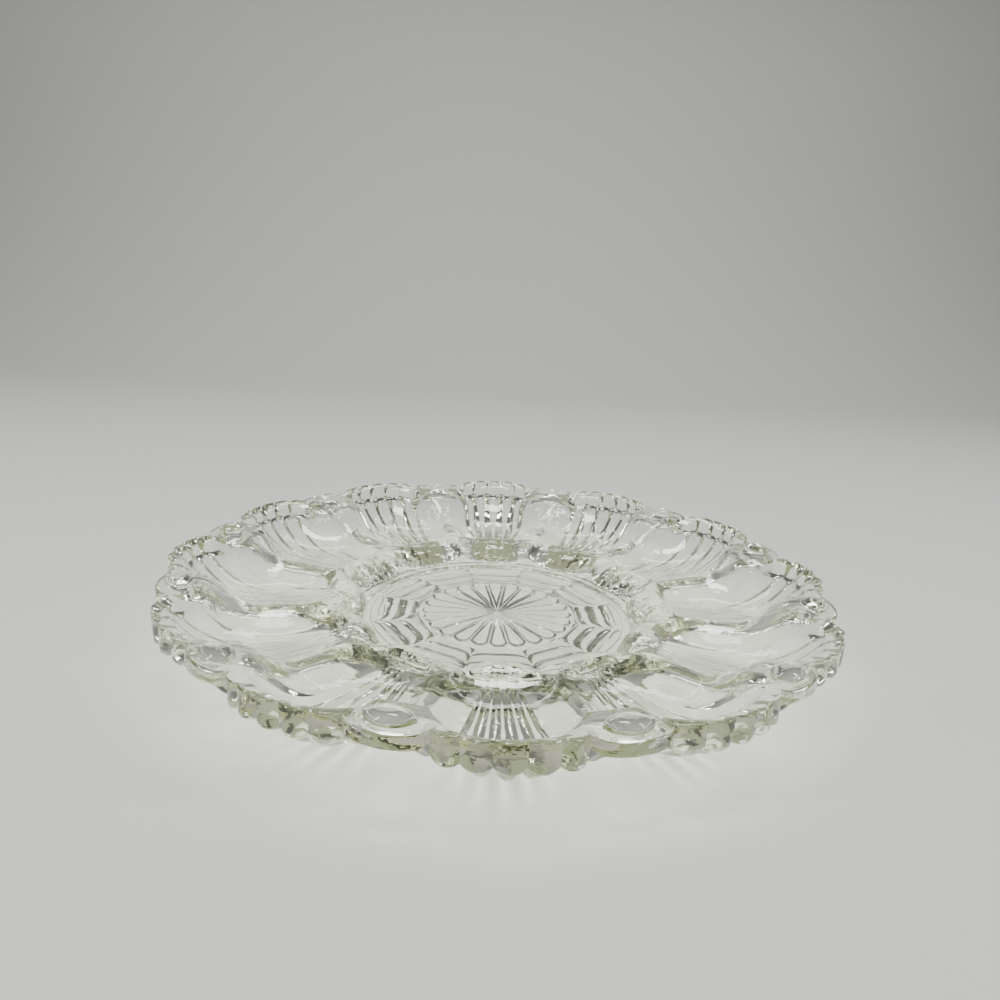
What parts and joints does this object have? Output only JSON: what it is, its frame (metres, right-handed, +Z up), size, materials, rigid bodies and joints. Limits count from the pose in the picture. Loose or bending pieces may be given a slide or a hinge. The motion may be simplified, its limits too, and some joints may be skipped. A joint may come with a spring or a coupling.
{
  "type": "egg plate",
  "caption": "Round clear pressed-glass egg plate with scalloped rim, shell-fluted oval egg hollows, eye-shaped rim lenses and a round centre well with star and web pattern.",
  "frame": {"origin": "centre of the foot ring's underside, on the table", "axes": "+Z up through the centre of the plate; +X through the middle of the first cup, cup_wall_01 and cup_shell_01; the cups follow every 30 degrees towards +Y"},
  "size_m": [0.2518, 0.2518, 0.028],
  "materials": {
    "pressed_glass": "gloss"
  },
  "bodies": {
    "root": {"star_field": "pressed_glass", "web_band": "pressed_glass", "foot_ring": "pressed_glass", "cup_wall_01": "pressed_glass", "cup_wall_02": "pressed_glass", "cup_wall_03": "pressed_glass", "cup_wall_04": "pressed_glass", "cup_wall_05": "pressed_glass", "cup_wall_06": "pressed_glass", "cup_wall_07": "pressed_glass", "cup_wall_08": "pressed_glass", "cup_wall_09": "pressed_glass", "cup_wall_10": "pressed_glass", "cup_wall_11": "pressed_glass", "cup_wall_12": "pressed_glass", "cup_shell_01": "pressed_glass", "cup_shell_02": "pressed_glass", "cup_shell_03": "pressed_glass", "cup_shell_04": "pressed_glass", "cup_shell_05": "pressed_glass", "cup_shell_06": "pressed_glass", "cup_shell_07": "pressed_glass", "cup_shell_08": "pressed_glass", "cup_shell_09": "pressed_glass", "cup_shell_10": "pressed_glass", "cup_shell_11": "pressed_glass", "cup_shell_12": "pressed_glass", "rim_lens_01": "pressed_glass", "rim_lens_02": "pressed_glass", "rim_lens_03": "pressed_glass", "rim_lens_04": "pressed_glass", "rim_lens_05": "pressed_glass", "rim_lens_06": "pressed_glass", "rim_lens_07": "pressed_glass", "rim_lens_08": "pressed_glass", "rim_lens_09": "pressed_glass", "rim_lens_10": "pressed_glass", "rim_lens_11": "pressed_glass", "rim_lens_12": "pressed_glass"}
  },
  "joints": []
}
